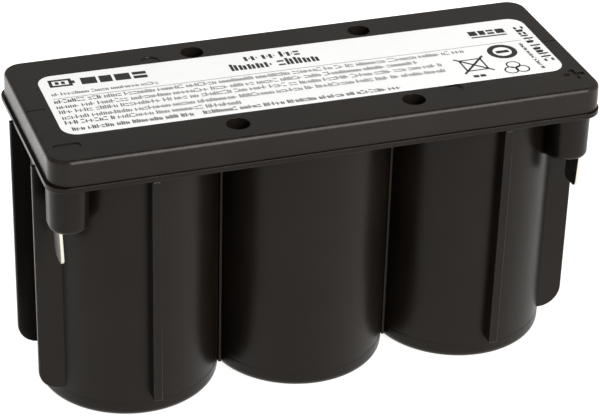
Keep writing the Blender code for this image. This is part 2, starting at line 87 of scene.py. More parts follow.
# Ribs and end fins
RIB_HALF = (1.1, 25.95)
RIB_CORNER = (0.22, 0.04)
RIB_EDGES = (0.3, 0.5)
RIB_SHIFT = 0.65
RIB_BOTTOM = 6.2
RIB_TOP = 67.5
FIN_END = 69.7
FIN_PLACE = 11.4
FIN_HALF = 0.7
FIN_CORNER = 5.5
FIN_EDGE = 0.42
FRONT_FIN_BOTTOM = 5.0
BACK_FIN_BOTTOM = 4.3

# Bosses
BOSS_INNER = 58.4
BOSS_OUTER = 68.1
BOSS_FRONT = -25.5
BOSS_BACK = -14.8
BOSS_BOTTOM = 56.0
BOSS_INNER_CORNER = 4.3
BOSS_FRONT_CORNER = 4.7
BOSS_BACK_CORNER = 4.0
BOSS_DRAFT = 0.5
BOSS_EDGE = 1.2
BOSS_FALL = 2.6
FALL_BACK = (-24.0, 6.5)  # the Y where the fall starts, and its run
FALL_INWARD = (-64.5, 5.0)  # the same along -X, for the boss on the right

# Blades
TAB_OUTER = 66.5
TAB_THICKNESS = 0.8
TAB_BACK = -16.85
TAB_FRONT = -23.2
TAB_TIP = 47.0
TAB_CHAMFER = 1.3
TAB_EDGE = 0.12
TAB_LEAN = 0.6
JOG_TOP = 62.8
RISER_OUTER = 62.9
RISER_FRONT = -20.8
LEAD_LOW = 70.0
LEAD_HALF = 2.0
POST_PLACE = CELLS[2] + 12.0
POST_PAD = 3.2
SLOT_GAP = 0.3
POTTING = ((60.6, -21.1), (64.2, -16.2))
POTTING_LOW = 67.0

# Lid
LID_HALF = (68.75, 26.25)
LID_CENTRE = (0.45, -0.1)
LID_FLARE = 0.12
LID_LOW = 69.55
LID_TOP = 76.0
LID_CORNER = 4.8
LID_EDGES = (0.06, 1.05)
LID_SAG = 0.035
SAG_LEFT = (-65.0, 6.0)  # the X where the sag starts, and its run
SAG_RIGHT = (-50.0, 12.0)  # the same along -X, from the right
LID_WALL = 1.8
LID_CEILING = 74.4
IN_CEILING = LID_CEILING + 0.7
ABOVE_LID = LID_TOP + 1
HOLES = ((-22.0, -19.3), (22.05, -19.3), (-21.6, 19.6), (22.4, 19.8))
HOLE_RADIUS = 2.85
HOLE_FLOOR = 72.3
HOLE_CHAMFER = (0.35, 0.3)  # in radius, and in height
HOLE_EASE = 0.05
CUP_RADIUS = 3.95
CUP_LOW = 71.3
STOP_RADIUS = 2.2
STOP_LOW = 69.7

# Marks sunk in the lid
GROOVES = (((-67.9, 0.25), (-63.3, 0.35)), ((64.9, 0.80), (68.4, 0.90)))
GROOVE_WIDTH = 0.35
GROOVE_FLOOR = 75.75
MINUS_PLACE = (-62.8, -19.1)
MINUS_HALF = (3.3, 1.7)
MINUS_CORNER = 1.3
PLUS_PLACE = (64.7, -17.8)
PLUS_REACH = 2.6
PLUS_HALF = 0.75
PLUS_FLOOR = 75.65
DOTS = ((-32.8, 17.8), (33.4, -16.7))
DOT_RADIUS = 2.4
DOT_FLOOR = 75.7
DOT_CHAMFER = 0.2

# Label
LABEL_HALF = (63.2, 15.2)
LABEL_CENTRE = (1.1, 0.75)
LABEL_CORNER = 4.0
LABEL_EDGES = (0.01, 0.05)
LABEL_TURN = -0.45
LABEL_LOW = 76.01
LABEL_TOP = 76.11
PRINT_LOW = LABEL_TOP - 0.01
PRINT_TOP = 76.13
ROW_HEIGHT = 1.75
FOOT_HEIGHT = 1.7
BOLD_STROKE = 0.36
THIN_STROKE = 0.30

# Surfaces: angles in degrees
SHARP_ANGLE = 38.0
WORN_ANGLES = (4.0, 50.0)
WORN_RADIUS = 1.6

# Studio: millimetres and degrees, but metres for the floor's ramp and the softbox
LIGHT_TINT = (1.0, 0.985, 0.965, 1.0)
FLOOR_HALF = 4000.0
FLOOR_DROP = 0.05
FLOOR_GLOW = (0.90, 1.45)  # in front, and behind the block
FLOOR_RAMP = 0.12
SKY_RADIANCE = (0.48, 0.17)  # towards the horizon, and overhead
SKY_HEIGHTS = (0.66, 0.90)  # the Z of a direction where the sky starts to fall, and where it ends
SOFTBOX_PLACE = (0.3822, -0.962, 0.78)
SOFTBOX_SIZE = (0.55, 1.35)
SOFTBOX_RADIANCE = 11.0
CAMERA_PLACE = (-167.2, -464.7, 326.1)
CAMERA_TARGET = (3.379, 6.781, 34.5)
CAMERA_ROLL = 1.701
CAMERA_LENS = 136.62

RANGE_SOCKETS = ("From Min", "From Max", "To Min", "To Max")


# Outlines and solids


def arc(centre, radius, start, end, steps):
    points = []
    for i in range(steps + 1):
        angle = math.radians(start + (end - start) * i / steps)
        points.append((centre[0] + radius * math.cos(angle), centre[1] + radius * math.sin(angle)))
    return points


def ramp(value, start, run):
    """0 up to the start, then rising to 1 over the run."""
    return min(max((value - start) / run, 0.0), 1.0)


def mirrored(side, low, high):
    """A span of X on the given side, its low end first."""
    return sorted((side * low, side * high))


def rounded_rectangle(half_x, half_y, corner, centre=(0.0, 0.0), steps=12):
    outline = []
    for turn, (sign_x, sign_y) in enumerate(((1, 1), (-1, 1), (-1, -1), (1, -1))):
        middle = (
            centre[0] + sign_x * (half_x - corner),
            centre[1] + sign_y * (half_y - corner),
        )
        outline += arc(middle, corner, 90 * turn, 90 * turn + 90, steps)
    return outline


def box_outline(low, high):
    return [(low[0], low[1]), (high[0], low[1]), (high[0], high[1]), (low[0], high[1])]


def circle(radius, centre=(0.0, 0.0), steps=48):
    return arc(centre, radius, 0, 360, steps)[:-1]


def stack(loops):
    """A closed solid through loops of equally many (x, y, z) points, capped at both ends."""
    bm = bmesh.new()
    rings = [[bm.verts.new(point) for point in loop] for loop in loops]
    for lower, upper in zip(rings, rings[1:]):
        for i in range(len(lower)):
            j = (i + 1) % len(lower)
            bm.faces.new((lower[i], lower[j], upper[j], upper[i]))
    bm.faces.new(rings[0][::-1])
    bm.faces.new(rings[-1])
    bmesh.ops.recalc_face_normals(bm, faces=bm.faces)
    return bm


def quarter_round(radius, steps=5):
    """(height, inset) pairs from an end face, inset by the radius, out to the full outline."""
    pairs = []
    for i in range(steps + 1):
        angle = math.radians(90 * i / steps)
        pairs.append((radius * (1 - math.cos(angle)), radius * (1 - math.sin(angle))))
    return pairs


def soft_prism(outline, low, high, low_edge, high_edge, axis="z", steps=5, flare=0.0):
    """A prism whose end edges are rounded. The outline is a function of the inset, and a flare
    widens the low end."""
    levels = [(low + height, inset - flare) for height, inset in quarter_round(low_edge, steps)]
    levels += [(high - height, inset) for height, inset in quarter_round(high_edge, steps)][::-1]
    loops = []
    for level, inset in levels:
        points = outline(inset)
        if axis == "z":
            loops.append([(a, b, level) for a, b in points])
        elif axis == "y":
            loops.append([(a, level, b) for a, b in points])
        else:
            loops.append([(level, a, b) for a, b in points])
    return stack(loops)


def prism(outline, low, high):
    return stack([[(x, y, z) for x, y in outline] for z in (low, high)])


def turned(profile, steps, centre=(0.0, 0.0)):
    """A solid of revolution about Z from a closed profile of (radius, z) points."""
    bm = bmesh.new()
    rings = []
    for radius, z in profile:
        if radius == 0:
            rings.append([bm.verts.new((*centre, z))] * steps)
        else:
            rings.append([bm.verts.new((x, y, z)) for x, y in circle(radius, centre, steps)])
    for first, second in zip(rings, rings[1:] + rings[:1]):
        for i in range(steps):
            j = (i + 1) % steps
            corners = dict.fromkeys((first[i], first[j], second[j], second[i]))
            if len(corners) > 2:
                bm.faces.new(tuple(corners))
    bmesh.ops.recalc_face_normals(bm, faces=bm.faces)
    return bm


def mesh_from(bm, name):
    bmesh.ops.scale(bm, vec=(MM, MM, MM), verts=bm.verts)
    mesh = bpy.data.meshes.new(name)
    bm.to_mesh(mesh)
    bm.free()
    return mesh


def make_object(name, bm):
    obj = bpy.data.objects.new(name, mesh_from(bm, name))
    bpy.context.scene.collection.objects.link(obj)
    return obj


def boolean(obj, operation, solids):
    """Adds or cuts the solids, and keeps the result as the object's mesh."""
    collection = bpy.data.collections.new("operands")
    bpy.context.scene.collection.children.link(collection)
    helpers = []
    for bm in solids:
        helper = bpy.data.objects.new("operand", mesh_from(bm, "operand"))
        collection.objects.link(helper)
        helpers.append(helper)
    modifier = obj.modifiers.new("boolean", "BOOLEAN")
    modifier.operation = operation
    modifier.solver = "EXACT"
    modifier.operand_type = "COLLECTION"
    modifier.collection = collection
    graph = bpy.context.evaluated_depsgraph_get()
    made = bpy.data.meshes.new_from_object(obj.evaluated_get(graph))
    obj.modifiers.clear()
    obj.data = made
    for helper in helpers:
        bpy.data.objects.remove(helper)
    bpy.data.collections.remove(collection)


def mark_edges(mesh):
    """Writes edge_wear: 1 along small convex roundings, 0 on flat and wide surfaces."""
    bm = bmesh.new()
    bm.from_mesh(mesh)
    bm.faces.ensure_lookup_table()
    curved = set()
    for edge in bm.edges:
        if len(edge.link_faces) != 2 or not edge.is_convex:
            continue
        angle = edge.calc_face_angle(0.0)
        if not WORN_ANGLES[0] < math.degrees(angle) < WORN_ANGLES[1]:
            continue
        for face in edge.link_faces:
            width = face.calc_area() / max(edge.calc_length(), 1e-9)
            if width < angle * WORN_RADIUS * MM:
                curved.add(face.index)
    values = []
    for face in bm.faces:
        for vert in face.verts:
            around = all(near.index in curved for near in vert.link_faces)
            values.append(1.0 if face.index in curved and around else 0.0)
    bm.free()
    attribute = mesh.attributes.new("edge_wear", "FLOAT", "CORNER")
    attribute.data.foreach_set("value", values)


def finish_piece(obj, material, replaced, wear=True):
    """Shading, material, the body, and the hiding of the CAD node that the piece stands for."""
    mesh = obj.data
    mesh.materials.clear()
    mesh.materials.append(material)
    mesh.shade_smooth()
    mesh.set_sharp_from_angle(angle=math.radians(SHARP_ANGLE))
    if wear:
        mark_edges(mesh)
    normals = obj.modifiers.new("face_weighted_normals", "WEIGHTED_NORMAL")
    normals.mode = "FACE_AREA"
    normals.weight = 100
    normals.keep_sharp = True
    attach(obj, BODY)
    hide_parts(*replaced)


# Materials


class Nodes:
    """Short ways to add and link shader nodes."""

    def __init__(self, name):
        self.material = bpy.data.materials.new(name)
        self.material.use_nodes = True
        self.tree = self.material.node_tree
        self.shader = self.tree.nodes["Principled BSDF"]
        self.place = self.add("ShaderNodeTexCoord").outputs["Object"]

    def add(self, kind, **settings):
        node = self.tree.nodes.new(kind)
        for key, value in settings.items():
            setattr(node, key, value)
        return node

    def link(self, source, target):
        self.tree.links.new(source, target)

    def value(self, name, number):
        self.shader.inputs[name].default_value = number

    def stretched(self, scale):
        node = self.add("ShaderNodeMapping")
        node.inputs["Scale"].default_value = scale
        self.link(self.place, node.inputs["Vector"])
        return node.outputs["Vector"]

    def noise(self, size, detail=4.0, roughness=0.55, vector=None):
        """Noise whose features are about this many millimetres across."""
        node = self.add("ShaderNodeTexNoise")
        node.inputs["Scale"].default_value = 1000.0 / size
        node.inputs["Detail"].default_value = detail
        node.inputs["Roughness"].default_value = roughness
        self.link(vector or self.place, node.inputs["Vector"])
        return node.outputs["Fac"]

    def cells(self, size, vector=None, feature="F1"):
        node = self.add("ShaderNodeTexVoronoi", feature=feature)
        node.inputs["Scale"].default_value = 1000.0 / size
        self.link(vector or self.place, node.inputs["Vector"])
        return node.outputs["Distance"]

    def spread(self, value, low, high, to_low=0.0, to_high=1.0):
        node = self.add("ShaderNodeMapRange", clamp=True)
        self.link(value, node.inputs["Value"])
        for name, number in zip(RANGE_SOCKETS, (low, high, to_low, to_high)):
            node.inputs[name].default_value = number
        return node.outputs["Result"]

    def math(self, operation, first, second):
        node = self.add("ShaderNodeMath", operation=operation)
        for socket, value in zip(node.inputs, (first, second)):
            if isinstance(value, (int, float)):
                socket.default_value = value
            else:
                self.link(value, socket)
        return node.outputs["Value"]

    def mix(self, factor, first, second):
        node = self.add("ShaderNodeMix", data_type="RGBA")
        self.link(factor, node.inputs["Factor"])
        for name, value in (("A", first), ("B", second)):
            socket = [s for s in node.inputs if s.name == name and s.type == "RGBA"][0]
            if isinstance(value, tuple):
                socket.default_value = (*value, 1.0)
            else:
                self.link(value, socket)
        return [s for s in node.outputs if s.type == "RGBA"][0]

    def bump(self, height, depth, normal=None):
        """Relief of this many millimetres."""
        node = self.add("ShaderNodeBump")
        node.inputs["Strength"].default_value = 1.0
        node.inputs["Distance"].default_value = depth * MM
        self.link(height, node.inputs["Height"])
        if normal is not None:
            self.link(normal, node.inputs["Normal"])
        return node.outputs["Normal"]

    def attribute(self, name):
        node = self.add("ShaderNodeAttribute", attribute_name=name)
        return node.outputs["Fac"]

    def base(self, colour):
        self.link(colour, self.shader.inputs["Base Color"])

    def rough(self, value):
        self.link(value, self.shader.inputs["Roughness"])

    def normal(self, value):
        self.link(value, self.shader.inputs["Normal"])


def black_plastic(name, colour, rough, drag, grain):
    """Moulded black polypropylene: fine grain, flow marks, a few specks and rubbed edges.

    The drag scales the flow marks along each axis, and the grain is its depth in millimetres.
    """
    n = Nodes(name)
    broad = n.noise(22.0, 3.0)
    fine = n.noise(0.55, 3.0)
    flow = n.noise(2.2, 4.0, 0.6, n.stretched(drag))
    wear = n.math("MULTIPLY", n.attribute("edge_wear"), n.spread(n.noise(2.6), 0.42, 0.68))
    specks = n.spread(n.cells(2.4), 0.020, 0.012)
    specks = n.math("MULTIPLY", specks, n.spread(n.noise(9.0), 0.62, 0.70))
    lighter = tuple(part * 1.4 for part in colour)
    tone = n.mix(n.spread(broad, 0.35, 0.65), colour, lighter)
    tone = n.mix(n.math("MULTIPLY", wear, 0.35), tone, (0.034, 0.029, 0.025))
    tone = n.mix(specks, tone, (0.24, 0.23, 0.21))
    n.base(tone)
    gloss = n.spread(broad, 0.3, 0.7, rough - 0.03, rough + 0.04)
    gloss = n.math("ADD", gloss, n.spread(flow, 0.3, 0.7, -0.025, 0.025))
    gloss = n.math("ADD", gloss, n.math("MULTIPLY", specks, 0.3))
    n.rough(gloss)
    n.value("IOR", 1.45)
    n.value("Specular IOR Level", 0.23)
    n.shader.inputs["Specular Tint"].default_value = (1.0, 0.96, 0.93, 1.0)
    relief = n.bump(flow, 0.008)
    relief = n.bump(fine, grain, relief)
    relief = n.bump(specks, 0.03, relief)
    n.normal(relief)
    return n.material


def label_film(name):
    """White coated film: faint paper tone, a soft sheen and slight ripples."""
    n = Nodes(name)
    tone = n.spread(n.noise(14.0, 5.0), 0.35, 0.7)
    n.base(n.mix(tone, (0.93, 0.93, 0.92), (0.90, 0.90, 0.89)))
    n.rough(n.spread(n.noise(3.0, 4.0), 0.3, 0.7, 0.38, 0.52))
    n.value("IOR", 1.45)
    n.normal(n.bump(n.noise(0.4, 2.0), 0.004, n.bump(n.noise(16.0, 2.0), 0.10)))
    return n.material


def print_ink(name, dark, light):
    n = Nodes(name)
    n.base(n.mix(n.spread(n.noise(0.5, 3.0), 0.4, 0.75), dark, light))
    n.rough(n.spread(n.noise(1.2), 0.3, 0.7, 0.45, 0.62))
    n.normal(n.bump(n.noise(0.3, 2.0), 0.003))
    return n.material


def tinned_brass(name):
    """Dull tin plate with rolling lines and stains on the faces. Faces not turned along ±X get
    bright brass: bare metal on the cut edges, and also a painted highlight, which takes in the
    lead's top face.
    """
    n = Nodes(name)
    split = n.add("ShaderNodeSeparateXYZ")
    n.link(n.add("ShaderNodeTexCoord").outputs["Normal"], split.inputs["Vector"])
    # Painted highlight: the colour follows which way a face points, bright brass unless the face
    # is turned along ±X.
    flat = n.spread(n.math("ABSOLUTE", split.outputs["X"], 0.0), 0.6, 0.9)
    lines = n.noise(0.35, 3.0, 0.6, n.stretched((1.0, 6.0, 0.25)))
    stains = n.noise(2.4, 5.0)
    dull = n.mix(n.spread(stains, 0.40, 0.66), (0.20, 0.195, 0.18), (0.09, 0.085, 0.075))
    tone = n.mix(flat, (0.74, 0.72, 0.64), dull)
    n.base(n.mix(n.spread(n.cells(1.3), 0.10, 0.03), tone, (0.30, 0.27, 0.22)))
    n.value("Metallic", 1.0)
    worn = n.spread(stains, 0.3, 0.7, 0.24, 0.40)
    n.rough(n.math("ADD", worn, n.spread(lines, 0.2, 0.8, 0.0, 0.08)))
    n.normal(n.bump(lines, 0.010, n.bump(n.noise(2.0), 0.02)))
    return n.material


def cast_lead(name):
    n = Nodes(name)
    grain = n.cells(1.4)
    patches = n.spread(n.noise(4.0, 6.0), 0.35, 0.7)
    tone = n.mix(patches, (0.34, 0.35, 0.37), (0.20, 0.205, 0.215))
    n.base(n.mix(n.spread(grain, 0.1, 0.7), tone, (0.42, 0.43, 0.45)))
    n.value("Metallic", 0.9)
    n.rough(n.spread(n.noise(0.8, 5.0), 0.25, 0.75, 0.40, 0.66))
    n.normal(n.bump(n.noise(0.6, 5.0), 0.05, n.bump(grain, 0.08)))
    return n.material


def plate_paste(name, colour, second, metallic, grid):
    """Active paste on a plate: pores, colour patches and the grid that carries it."""
    n = Nodes(name)
    pores = n.cells(0.6)
    patches = n.mix(n.spread(n.noise(5.0, 5.0), 0.35, 0.7), colour, second)
    borders = n.cells(5.0, n.stretched((1.0, 1.0, 0.7)), "DISTANCE_TO_EDGE")
    wires = n.spread(borders, 0.02, 0.08, 1.0, 0.0)
    n.base(n.mix(n.math("MULTIPLY", wires, 0.6), patches, grid))
    n.value("Metallic", metallic)
    n.rough(n.spread(n.noise(0.7, 4.0), 0.3, 0.7, 0.62, 0.92))
    n.normal(n.bump(pores, 0.10, n.bump(wires, 0.15)))
    return n.material


def glass_mat(name):
    n = Nodes(name)
    along = n.noise(0.5, 6.0, 0.7, n.stretched((4.0, 4.0, 0.5)))
    across = n.noise(0.5, 6.0, 0.7, n.stretched((0.5, 0.5, 5.0)))
    fibres = n.math("MULTIPLY", along, across)
    n.base(n.mix(n.spread(fibres, 0.15, 0.4), (0.60, 0.60, 0.57), (0.86, 0.86, 0.84)))
    n.rough(n.spread(n.noise(1.0), 0.3, 0.7, 0.85, 1.0))
    n.value("Sheen Weight", 0.3)
    n.normal(n.bump(fibres, 0.12))
    return n.material


def plain_polymer(name, colour, second, rough, patch, grain, depth):
    """A moulded or poured polymer with its own tone, gloss and surface texture."""
    n = Nodes(name)
    n.base(n.mix(n.spread(n.noise(patch, 5.0), 0.35, 0.7), colour, second))
    n.rough(n.spread(n.noise(patch / 3, 4.0), 0.3, 0.7, rough - 0.07, rough + 0.08))
    n.normal(n.bump(n.noise(grain, 4.0), depth))
    return n.material


def floor_surface(name):
    """Pale studio floor that glows. The glow is painted light that gets stronger towards the back
    left, where it washes out the block's shadow.
    """
    n = Nodes(name)
    tone = n.spread(n.noise(300.0, 3.0), 0.3, 0.7)
    n.base(n.mix(tone, (0.30, 0.30, 0.30), (0.28, 0.28, 0.28)))
    n.rough(n.spread(n.noise(40.0), 0.3, 0.7, 0.85, 0.95))
    n.value("Specular IOR Level", 0.1)
    split = n.add("ShaderNodeSeparateXYZ")
    n.link(n.place, split.inputs["Vector"])
    # Painted light: the glow ramps up towards the back left, over the block's shadow.
    left = n.math("MULTIPLY", split.outputs["X"], -0.3)
    back_left = n.math("ADD", split.outputs["Y"], left)
    glow = n.spread(back_left, 0.0, FLOOR_RAMP, *FLOOR_GLOW)
    n.link(glow, n.shader.inputs["Emission Strength"])
    n.shader.inputs["Emission Color"].default_value = LIGHT_TINT
    return n.material


# Case


def well_solid(x):
    """One round well, with a rounded bottom edge and the faint witness line of its mould."""
    groove = WELL_RADIUS - WITNESS_DEPTH
    profile = [(0.0, 0.0)]
    profile += arc((WELL_RADIUS - WELL_EDGE, WELL_EDGE), WELL_EDGE, -90, 0, 9)
    profile += [
        (WELL_RADIUS, WITNESS_LINE[0]),
        (groove, WITNESS_LINE[1]),
        (groove, WITNESS_LINE[2]),
        (WELL_RADIUS, WITNESS_LINE[3]),
        (WELL_RADIUS, SHAPE_TOP),
        (0.0, SHAPE_TOP),
    ]
    return turned(profile, 144, (x, 0.0))


def bore_solid(x):
    """The room for one cell, with a ledge that its cover rests on."""
    profile = [
        (0.0, BORE_FLOOR),
        (BORE_RADIUS, BORE_FLOOR),
        (BORE_RADIUS, LEDGE_Z),
        (MOUTH_RADIUS, LEDGE_Z),
        (MOUTH_RADIUS, ABOVE_CURB),
        (0.0, ABOVE_CURB),
    ]
    return turned(profile, 96, (x, 0.0))


def wall_outline(x, half, corner, steps):
    """The outline of an upright wall across the block, as a function of the inset."""

    def outline(inset):
        rounding = max(corner[0] - inset, corner[1])
        return rounded_rectangle(half[0] - inset, half[1] - inset, rounding, (x, 0.0), steps)

    return outline


def web_solid(x):
    outline = wall_outline(x, WEB_HALF, WEB_CORNER, 5)
    return soft_prism(outline, WEB_BOTTOM, SHAPE_TOP, *WEB_EDGES)


def rib_solid(side):
    outline = wall_outline(side * CELLS[2] + RIB_SHIFT, RIB_HALF, RIB_CORNER, 6)
    return soft_prism(outline, RIB_BOTTOM, RIB_TOP, *RIB_EDGES)


def fin_solid(side, row):
    """One end fin, from inside its cell out past the rim's end."""
    inner = CELLS[2] + BORE_RADIUS / 2
    under_rim = RIM_HALF[0] - FIN_HALF
    bottom = FRONT_FIN_BOTTOM if row < 0 else BACK_FIN_BOTTOM

    def outline(inset):
        middle = (FIN_END - FIN_CORNER, bottom + FIN_CORNER)
        points = [(inner, SHAPE_TOP), (inner, bottom + inset)]
        points += arc(middle, FIN_CORNER - inset, -90, 0, 12)
        points.append((FIN_END - inset, RIM_LOW - inset))
        points.append((under_rim, RIM_LOW - inset))
        points.append((under_rim, SHAPE_TOP))
        return [(side * x, z) for x, z in points]

    y = row * FIN_PLACE
    return soft_prism(outline, y - FIN_HALF, y + FIN_HALF, FIN_EDGE, FIN_EDGE, axis="y")


def boss_loop(side, z, inset):
    """The boss's outline at one height. Its inner side leans out towards the bottom."""
    drop = (RIM_TOP - z) / (RIM_TOP - BOSS_BOTTOM)
    inner = BOSS_INNER + BOSS_DRAFT * drop + inset
    outer = BOSS_OUTER - inset
    front = BOSS_FRONT + inset
    back = BOSS_BACK - inset
    inner_corner = BOSS_INNER_CORNER - inset
    front_corner = BOSS_FRONT_CORNER - inset
    back_corner = BOSS_BACK_CORNER - inset
    points = [(inner, back)]
    points += arc((inner + inner_corner, front + inner_corner), inner_corner, -180, -90, 14)
    points += arc((outer - front_corner, front + front_corner), front_corner, -90, 0, 14)
    points += arc((outer - back_corner, back - back_corner), back_corner, 0, 90, 10)
    return [(side * x, y, z) for x, y in points]


def falling(point):
    """The boss's underside, lower towards the well on its inner side."""
    x, y, z = point
    return (x, y, z - BOSS_FALL * ramp(y, *FALL_BACK) * ramp(-abs(x), *FALL_INWARD))


def boss_solid(side):
    loops = []
    for height, inset in quarter_round(BOSS_EDGE, 8):
        loops.append([falling(point) for point in boss_loop(side, BOSS_BOTTOM + height, inset)])
    loops.append(boss_loop(side, SHAPE_TOP, 0.0))
    return stack(loops)


def blade_boxes(side, margin):
    """The blade, jog and riser grown by a margin, as (outline, low, high)."""

    def block(x_low, x_high, y_low, y_high, z_low, z_high):
        ends = mirrored(side, x_low - margin, x_high + margin)
        outline = box_outline((ends[0], y_low - margin), (ends[1], y_high + margin))
        return outline, z_low - margin, z_high + margin

    inner = TAB_OUTER - TAB_THICKNESS
    riser = RISER_OUTER - TAB_THICKNESS
    jog_low = JOG_TOP - TAB_THICKNESS
    return [
        block(inner, TAB_OUTER, TAB_FRONT, TAB_BACK, TAB_TIP, JOG_TOP),
        block(riser, TAB_OUTER, RISER_FRONT, TAB_BACK, jog_low, JOG_TOP),
        block(riser, RISER_OUTER, RISER_FRONT, TAB_BACK, jog_low, LEAD_LOW + TAB_THICKNESS),
    ]


def make_case(material):
    def rim(inset):
        half = [reach - inset for reach in RIM_HALF]
        return rounded_rectangle(*half, RIM_CORNER - inset, RIM_CENTRE, 16)

    case = make_object("case_shell", soft_prism(rim, RIM_LOW, RIM_TOP, *RIM_EDGES))
    shapes = [well_solid(x) for x in CELLS] + [web_solid(x) for x in VALLEYS]
    for side in (-1, 1):
        shapes += [fin_solid(side, -1), fin_solid(side, 1), rib_solid(side), boss_solid(side)]
    shapes.append(prism(rounded_rectangle(*CURB_HALF, CURB_CORNER), SHAPE_TOP, CURB_TOP))
    boolean(case, "UNION", shapes)
    cuts = [bore_solid(x) for x in CELLS]
    inside_half = [half - CURB_WIDTH for half in CURB_HALF]
    inside = rounded_rectangle(*inside_half, CURB_CORNER - CURB_WIDTH)
    cuts.append(prism(inside, RIM_TOP, ABOVE_CURB))
    (x_low, y_low), (x_high, y_high) = POTTING
    for side in (-1, 1):
        cuts += [prism(*block) for block in blade_boxes(side, SLOT_GAP)]
        ends = mirrored(side, x_low, x_high)
        potting = box_outline((ends[0], y_low), (ends[1], y_high))
        cuts.append(prism(potting, POTTING_LOW, ABOVE_CURB))
    boolean(case, "DIFFERENCE", cuts)
    finish_piece(case, material, ["case"])


# Lid


def slot_outline(start, end, width, steps=6):
    """A round-ended slot from one (x, y) to another, seen from above."""
    direction = math.degrees(math.atan2(end[1] - start[1], end[0] - start[0]))
    points = arc(end, width / 2, direction - 90, direction + 90, steps)
    return points + arc(start, width / 2, direction + 90, direction + 270, steps)


def plus_outline(centre, reach, half):
    points = [
        (half, -reach), (half, -half), (reach, -half), (reach, half), (half, half), (half, reach),
        (-half, reach), (-half, half), (-reach, half), (-reach, -half), (-half, -half),
        (-half, -reach),
    ]
    return [(centre[0] + x, centre[1] + y) for x, y in points]


def hole_cutter(place):
    """A round recess, chamfered at its floor and eased at its mouth."""
    profile = [
        (0.0, HOLE_FLOOR),
        (HOLE_RADIUS - HOLE_CHAMFER[0], HOLE_FLOOR),
        (HOLE_RADIUS, HOLE_FLOOR + HOLE_CHAMFER[1]),
        (HOLE_RADIUS, LID_TOP - HOLE_EASE),
        (HOLE_RADIUS + HOLE_EASE, LID_TOP),
        (HOLE_RADIUS + HOLE_EASE, ABOVE_LID),
        (0.0, ABOVE_LID),
    ]
    return turned(profile, 48, place)


def dot_cutter(place):
    """A shallow round mark with a chamfered floor."""
    profile = [
        (0.0, DOT_FLOOR),
        (DOT_RADIUS - DOT_CHAMFER, DOT_FLOOR),
        (DOT_RADIUS, DOT_FLOOR + DOT_CHAMFER),
        (DOT_RADIUS, ABOVE_LID),
        (0.0, ABOVE_LID),
    ]
    return turned(profile, 48, place)


def lid_body():
    """The lid as a full solid. Its low edge sags a little between the two ends."""

    def outline(inset):
        half = [reach - inset for reach in LID_HALF]
        return rounded_rectangle(*half, LID_CORNER - inset, LID_CENTRE, 16)

    body = soft_prism(outline, LID_LOW, LID_TOP, *LID_EDGES, steps=10, flare=LID_FLARE)
    for vert in body.verts:
        if vert.co.z < LID_LOW + 2 * LID_EDGES[0]:
            vert.co.z -= LID_SAG * ramp(-vert.co.x, *SAG_RIGHT) * ramp(vert.co.x, *SAG_LEFT)
    return body


def make_lid(material):
    lid = make_object("lid_shell", lid_body())
    inside_half = [half - LID_WALL for half in LID_HALF]
    inside = rounded_rectangle(*inside_half, LID_CORNER - LID_WALL, LID_CENTRE)
    boolean(lid, "DIFFERENCE", [prism(inside, LID_LOW - 1, LID_CEILING)])
    shapes = [prism(circle(CUP_RADIUS, place), CUP_LOW, IN_CEILING) for place in HOLES]
    shapes += [prism(circle(STOP_RADIUS, (x, 0.0)), STOP_LOW, IN_CEILING) for x in CELLS]
    boolean(lid, "UNION", shapes)
    cuts = [hole_cutter(place) for place in HOLES]
    for start, end in GROOVES:
        cuts.append(prism(slot_outline(start, end, GROOVE_WIDTH), GROOVE_FLOOR, ABOVE_LID))
    minus = rounded_rectangle(*MINUS_HALF, MINUS_CORNER, MINUS_PLACE)
    cuts.append(prism(minus, GROOVE_FLOOR, ABOVE_LID))
    plus = plus_outline(PLUS_PLACE, PLUS_REACH, PLUS_HALF)
    cuts.append(prism(plus, PLUS_FLOOR, ABOVE_LID))
    cuts += [dot_cutter(place) for place in DOTS]
    boolean(lid, "DIFFERENCE", cuts)
    finish_piece(lid, material, ["lid"])


# Label


def label_place(x, y):
    """A point on the label, turned a little as the label was stuck on."""
    turn = math.radians(LABEL_TURN)
    dx = x - LABEL_CENTRE[0]
    dy = y - LABEL_CENTRE[1]
    return (
        LABEL_CENTRE[0] + dx * math.cos(turn) - dy * math.sin(turn),
        LABEL_CENTRE[1] + dx * math.sin(turn) + dy * math.cos(turn),
    )


def make_label(material):
    def outline(inset):
        half = [reach - inset for reach in LABEL_HALF]
        points = rounded_rectangle(*half, LABEL_CORNER - inset, LABEL_CENTRE, 14)
        return [label_place(x, y) for x, y in points]

    film = soft_prism(outline, LABEL_LOW, LABEL_TOP, *LABEL_EDGES, steps=3)
    label = make_object("label_film", film)
    finish_piece(label, material, ["label"], wear=False)


def add_patch(bm, outline):
    """One flat printed shape, as a thin closed solid."""
    rings = [[bm.verts.new((x, y, z)) for x, y in outline] for z in (PRINT_LOW, PRINT_TOP)]
    for i in range(len(outline)):
        j = (i + 1) % len(outline)
        bm.faces.new((rings[0][i], rings[0][j], rings[1][j], rings[1][i]))
    bm.faces.new(rings[0][::-1])
    bm.faces.new(rings[1])


def add_ring(bm, outer, inner):
    """A closed band between two outlines of equally many points."""
    levels = ((outer, PRINT_LOW), (outer, PRINT_TOP), (inner, PRINT_TOP), (inner, PRINT_LOW))
    rings = [[bm.verts.new((x, y, z)) for x, y in outline] for outline, z in levels]
    count = len(outer)
    for first, second in zip(rings, rings[1:] + rings[:1]):
        for i in range(count):
            j = (i + 1) % count
            bm.faces.new((first[i], first[j], second[j], second[i]))


class Line:
    """A printed line from one point to another, with places along and above it."""

    def __init__(self, start, end):
        self.start = Vector(start)
        self.along = (Vector(end) - self.start).normalized()
        self.length = (Vector(end) - self.start).length
        self.above = Vector((-self.along.y, self.along.x))

    def box(self, bm, left, right, low, high):
        corners = [(left, low), (right, low), (right, high), (left, high)]
        add_patch(bm, [tuple(self.start + self.along * a + self.above * b) for a, b in corners])


